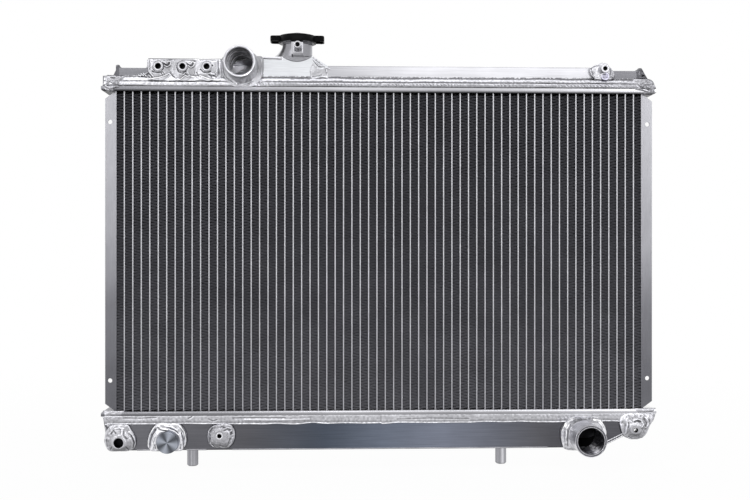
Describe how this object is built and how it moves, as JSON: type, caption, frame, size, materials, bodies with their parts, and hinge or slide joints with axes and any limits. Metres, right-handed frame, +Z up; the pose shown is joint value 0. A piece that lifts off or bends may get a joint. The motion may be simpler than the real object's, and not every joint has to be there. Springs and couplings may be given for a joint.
{
  "type": "car radiator",
  "caption": "Welded aluminium car radiator: fin and tube core, upper and lower tank, hose necks, tapped bosses, locating pins and a sprung filler cap.",
  "frame": {"origin": "midpoint between the two locating pins, on the face of the lower tank that they stand on; Y = 0 is the middle of the core's depth", "axes": "+X along the tanks towards the outlet end, +Y away from the hose necks, +Z up"},
  "size_m": [0.6966, 0.1053, 0.5508],
  "materials": {
    "tank_aluminium": "brushed mill finish",
    "core_aluminium": "bright brazed sheet",
    "fin_stock": "dull, shaded fin stock",
    "machined_aluminium": "turned",
    "weld_metal": "rippled weld bead",
    "cap_black": "gloss black",
    "cap_steel": "plated",
    "seal_rubber": "matt"
  },
  "bodies": {
    "radiator": {"upper_header": "tank_aluminium", "lower_header": "tank_aluminium", "tubes": "core_aluminium", "fins": "fin_stock", "left_side_plate": "core_aluminium", "right_side_plate": "core_aluminium", "upper_tank": "tank_aluminium", "upper_tank_ends": "tank_aluminium", "boss_block": "tank_aluminium", "inlet_box": "tank_aluminium", "filler_box": "tank_aluminium", "upper_left_bosses": "machined_aluminium", "upper_right_boss": "machined_aluminium", "upper_right_gusset": "machined_aluminium", "inlet_flange": "machined_aluminium", "inlet_neck": "machined_aluminium", "filler_neck": "machined_aluminium", "overflow_nipple": "machined_aluminium", "lower_tank": "tank_aluminium", "lower_tank_ends": "tank_aluminium", "outlet_saddle": "machined_aluminium", "outlet_neck": "machined_aluminium", "drain_port": "machined_aluminium", "blank_boss": "machined_aluminium", "lower_left_boss": "machined_aluminium", "lower_right_boss": "machined_aluminium", "locating_pins": "machined_aluminium", "upper_seam_weld": "weld_metal", "lower_seam_weld": "weld_metal"},
    "cap_stack": {"cap_rivet": "cap_steel", "spring_disc": "cap_steel", "upper_gasket": "seal_rubber", "valve_bell": "cap_steel", "pressure_spring": "cap_steel"},
    "cap_cover": {"cap_cover": "cap_black"},
    "pressure_valve": {"pressure_plate": "cap_steel", "pressure_seal": "seal_rubber", "vacuum_spring": "cap_steel"},
    "vacuum_valve": {"vacuum_valve": "cap_steel"}
  },
  "joints": [
    {"name": "cap_lift", "type": "slide", "parent": "radiator", "child": "cap_stack", "axis": [0, 0, 1], "range_m": [0, 0.06]},
    {"name": "cap_turn", "type": "hinge", "parent": "cap_stack", "child": "cap_cover", "pos_m": [-0.064, 0, 0.514], "axis": [0, 0, 1], "range_deg": [-90, 0]},
    {"name": "pressure_lift", "type": "slide", "parent": "cap_stack", "child": "pressure_valve", "axis": [0, 0, 1], "range_m": [0, 0.003], "stiffness_N_per_m": 4000, "springref_m": -0.003, "deforming": ["pressure_spring"]},
    {"name": "vacuum_drop", "type": "slide", "parent": "pressure_valve", "child": "vacuum_valve", "axis": [0, 0, -1], "range_m": [0, 0.0015], "stiffness_N_per_m": 200, "springref_m": -0.002, "deforming": ["vacuum_spring"]}
  ]
}
